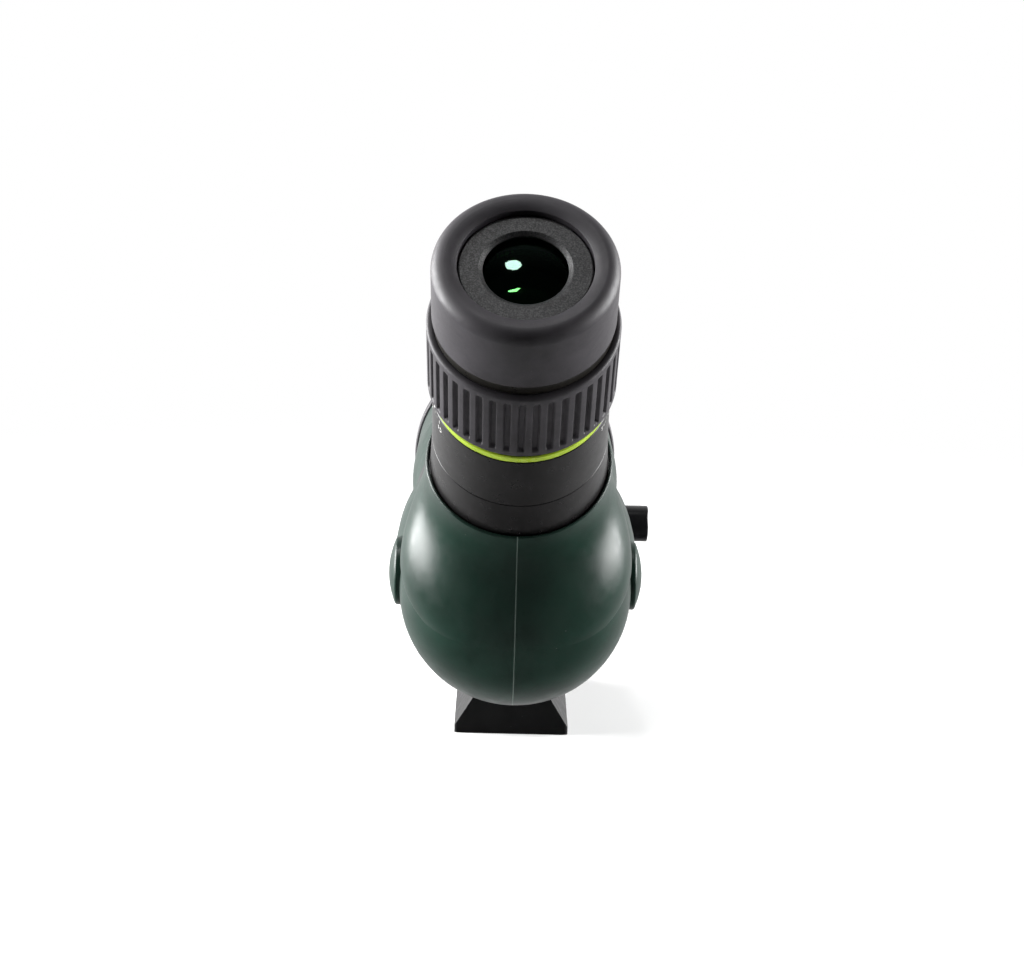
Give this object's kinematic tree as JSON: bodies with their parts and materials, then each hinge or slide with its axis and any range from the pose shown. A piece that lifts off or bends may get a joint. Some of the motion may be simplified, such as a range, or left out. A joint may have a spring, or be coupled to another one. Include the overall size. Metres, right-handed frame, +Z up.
{
  "type": "spotting scope",
  "caption": "Angled zoom spotting scope: round body in a turning tripod collar, ribbed zoom ring on a tilted eyepiece, twist-up eyecup, top focus knob and sliding sunshade.",
  "frame": {"origin": "centre of the tripod thread's mouth in the base of the foot", "axes": "+Z up out of the foot, +Y along the optical axis towards the objective, +X to the right of a person at the eyepiece"},
  "size_m": [0.088, 0.3208, 0.1908],
  "materials": {
    "green_armour": "satin",
    "black_rubber": "matte",
    "seal_rubber": "matte",
    "black_satin": "black satin coat",
    "sleeve_metal": "satin",
    "bezel_black": "textured",
    "lime_ring": "satin",
    "eye_glass": "coated",
    "front_glass": "coated",
    "coated_glass": "clear",
    "black_anodised": "black anodised",
    "brass_inner": "machined",
    "steel_inner": "machined",
    "black_plastic": "matte",
    "knob_gloss": "gloss",
    "collar_black": "black satin coat",
    "felt": "felt"
  },
  "bodies": {
    "mount": {"collar_ring": "collar_black", "collar_liner": "black_plastic", "foot": "collar_black", "foot_screws": "steel_inner", "thread_insert": "brass_inner"},
    "lock_shoe": {"clamp_shoe": "black_plastic"},
    "lock_knob": {"lock_knob": "knob_gloss", "lock_screw": "steel_inner"},
    "scope": {"housing_left": "green_armour", "housing_right": "green_armour", "side_cap_left": "green_armour", "side_cap_right": "green_armour", "housing_screws": "steel_inner", "prism_holder": "black_anodised", "roof_prism": "coated_glass", "prism_strap": "steel_inner", "prism_screws": "steel_inner", "focus_sleeve": "black_anodised", "main_tube": "black_anodised", "tube_armour": "green_armour", "light_baffles": "black_anodised", "objective_cell": "black_anodised", "flint_lens": "coated_glass", "lens_spacer": "black_anodised", "crown_lens": "front_glass", "objective_retainer": "black_anodised", "objective_seal": "seal_rubber", "shade_felt": "felt", "ocular_bezel": "bezel_black", "ocular_cell": "black_anodised", "eye_lens": "eye_glass", "ocular_doublet": "coated_glass", "guide_tube": "black_anodised", "field_lens": "coated_glass", "accent_ring": "lime_ring", "barrel_upper": "black_satin", "barrel_lower": "black_satin", "eyepiece_seal": "seal_rubber"},
    "focus_knob": {"focus_knob": "black_plastic", "focus_grip": "black_rubber"},
    "focus_carriage": {"focus_carriage": "black_anodised", "focus_rod": "steel_inner", "focus_lens": "coated_glass"},
    "zoom_ring": {"zoom_ring": "black_satin", "zoom_grip": "black_rubber", "zoom_cam": "black_anodised"},
    "variator": {"variator_cell": "black_anodised", "variator_lens": "coated_glass", "variator_pins": "brass_inner"},
    "compensator": {"compensator_cell": "black_anodised", "compensator_lens": "coated_glass", "compensator_pins": "brass_inner"},
    "eyecup_carrier": {"eyecup_carrier": "black_anodised"},
    "eyecup": {"eyecup_rubber": "black_rubber", "eyecup_sleeve": "sleeve_metal"},
    "sunshade": {"sunshade": "green_armour", "shade_rim": "black_rubber"}
  },
  "joints": [
    {"name": "collar_turn", "type": "hinge", "parent": "mount", "child": "scope", "pos_m": [0, 0.015, 0.062], "axis": [0, 1, 0], "range_deg": [-140, 140]},
    {"name": "lock_slide", "type": "slide", "parent": "mount", "child": "lock_shoe", "axis": [1, 0, 0], "range_m": [0, 0.0004]},
    {"name": "lock_turn", "type": "hinge", "parent": "lock_shoe", "child": "lock_knob", "pos_m": [0.04, 0.015, 0.062], "axis": [1, 0, 0], "range_deg": [0, 180]},
    {"name": "focus_turn", "type": "hinge", "parent": "scope", "child": "focus_knob", "pos_m": [0, -0.032, 0.1145], "axis": [0, 1, 0], "range_deg": [-540, 540]},
    {"name": "focus_slide", "type": "slide", "parent": "scope", "child": "focus_carriage", "axis": [0, 1, 0], "range_m": [-0.0045, 0.0045]},
    {"name": "zoom_turn", "type": "hinge", "parent": "scope", "child": "zoom_ring", "pos_m": [0, -0.13174, 0.14374], "axis": [0, 0.7071, -0.7071], "range_deg": [0, 120]},
    {"name": "variator_slide", "type": "slide", "parent": "scope", "child": "variator", "axis": [0, 0.7071, -0.7071], "range_m": [0, 0.012]},
    {"name": "compensator_slide", "type": "slide", "parent": "scope", "child": "compensator", "axis": [0, 0.7071, -0.7071], "range_m": [-0.005, 0]},
    {"name": "eyecup_lift", "type": "slide", "parent": "scope", "child": "eyecup_carrier", "axis": [0, -0.7071, 0.7071], "range_m": [0, 0.008]},
    {"name": "eyecup_twist", "type": "hinge", "parent": "eyecup_carrier", "child": "eyecup", "pos_m": [0, -0.15296, 0.16495], "axis": [0, -0.7071, 0.7071], "range_deg": [0, 90]},
    {"name": "shade_slide", "type": "slide", "parent": "scope", "child": "sunshade", "axis": [0, 1, 0], "range_m": [0, 0.035]}
  ],
  "couplings": [
    {"joint": "lock_turn", "follows": "lock_slide", "rad_per_m": 7854},
    {"joint": "focus_turn", "follows": "focus_slide", "rad_per_m": -2094.4},
    {"joint": "zoom_turn", "follows": "variator_slide", "rad_per_m": 174.53},
    {"joint": "compensator_slide", "follows": "variator_slide", "ratio": -0.41667},
    {"joint": "eyecup_twist", "follows": "eyecup_lift", "rad_per_m": 196.35}
  ]
}
